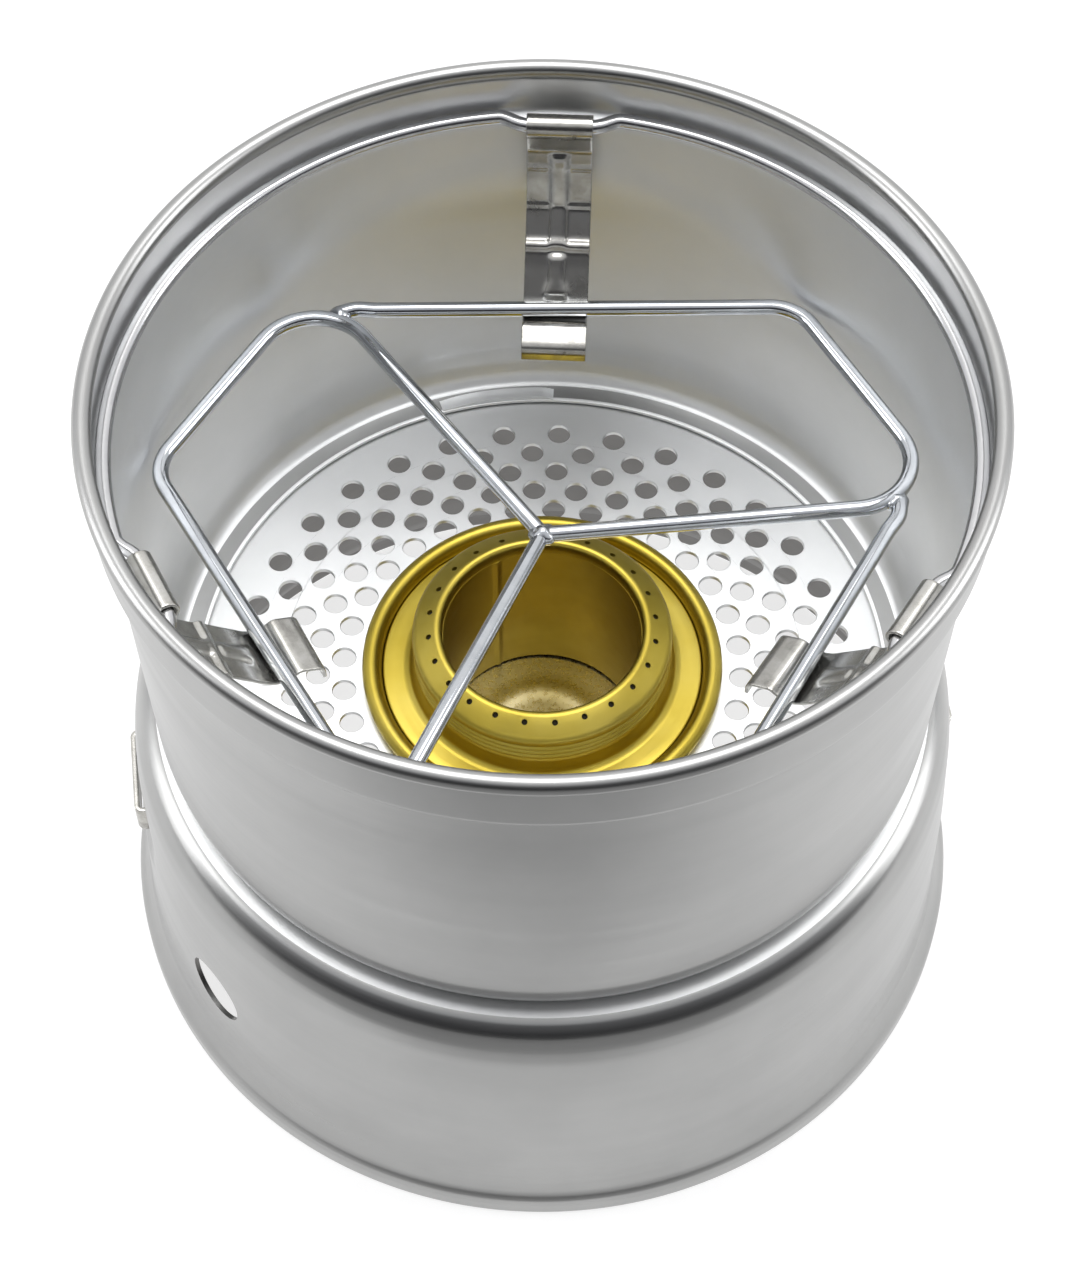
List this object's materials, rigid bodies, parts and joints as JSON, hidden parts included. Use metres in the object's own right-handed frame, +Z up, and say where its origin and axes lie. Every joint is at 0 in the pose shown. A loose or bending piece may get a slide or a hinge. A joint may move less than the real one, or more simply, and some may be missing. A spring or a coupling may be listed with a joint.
{
  "type": "alcohol spirit stove",
  "caption": "Camping spirit stove: perforated base windshield, tapered upper windshield with folding pot supports, loose wire trivet and a brass burner.",
  "frame": {"origin": "centre of the base ring, on the ground plane", "axes": "+Z up along the axis of the windshields; the viewer faces the stove from -Y"},
  "size_m": [0.185, 0.185, 0.163],
  "materials": {
    "spun_aluminium": "satin spun",
    "chromed_wire": "polished",
    "stainless_strip": "satin",
    "burner_brass": "spun",
    "wick_cotton": "woven cotton"
  },
  "bodies": {
    "base": {"lower_windshield": "spun_aluminium", "strap_loop_left": "stainless_strip", "strap_loop_right": "stainless_strip"},
    "upper": {"upper_windshield": "spun_aluminium", "hinge_ring": "stainless_strip"},
    "support_back": {"pot_support_back": "stainless_strip"},
    "support_left": {"pot_support_left": "stainless_strip"},
    "support_right": {"pot_support_right": "stainless_strip"},
    "trivet": {"trivet_wire_1": "chromed_wire", "trivet_wire_2": "chromed_wire", "trivet_wire_3": "chromed_wire"},
    "burner": {"burner_body": "burner_brass", "burner_jet_collar": "burner_brass", "burner_sleeve": "burner_brass", "burner_wick": "wick_cotton"}
  },
  "joints": [
    {"name": "bayonet_twist", "type": "hinge", "parent": "base", "child": "upper", "pos_m": [0, 0, 0.0706], "axis": [0, 0, 1], "range_deg": [0, 20]},
    {"name": "trivet_lift", "type": "slide", "parent": "upper", "child": "trivet", "axis": [0, 0, 1], "range_m": [0, 0.135]},
    {"name": "burner_lift", "type": "slide", "parent": "base", "child": "burner", "axis": [0, 0, 1], "range_m": [0, 0.135]},
    {"name": "support_back_fold", "type": "hinge", "parent": "upper", "child": "support_back", "pos_m": [0.00356, 0.07842, 0.1505], "axis": [-0.999, 0.0454, 0], "range_deg": [0, 151]},
    {"name": "support_left_fold", "type": "hinge", "parent": "upper", "child": "support_left", "pos_m": [-0.06969, -0.03613, 0.1505], "axis": [0.4602, -0.8878, 0], "range_deg": [0, 151]},
    {"name": "support_right_fold", "type": "hinge", "parent": "upper", "child": "support_right", "pos_m": [0.06613, -0.04229, 0.1505], "axis": [0.5388, 0.8425, 0], "range_deg": [0, 151]}
  ],
  "couplings": [
    {"joint": "burner_lift", "follows": "trivet_lift", "ratio": 1},
    {"joint": "support_back_fold", "follows": "trivet_lift", "rad_per_m": 19.4},
    {"joint": "support_left_fold", "follows": "trivet_lift", "rad_per_m": 19.4},
    {"joint": "support_right_fold", "follows": "trivet_lift", "rad_per_m": 19.4}
  ]
}
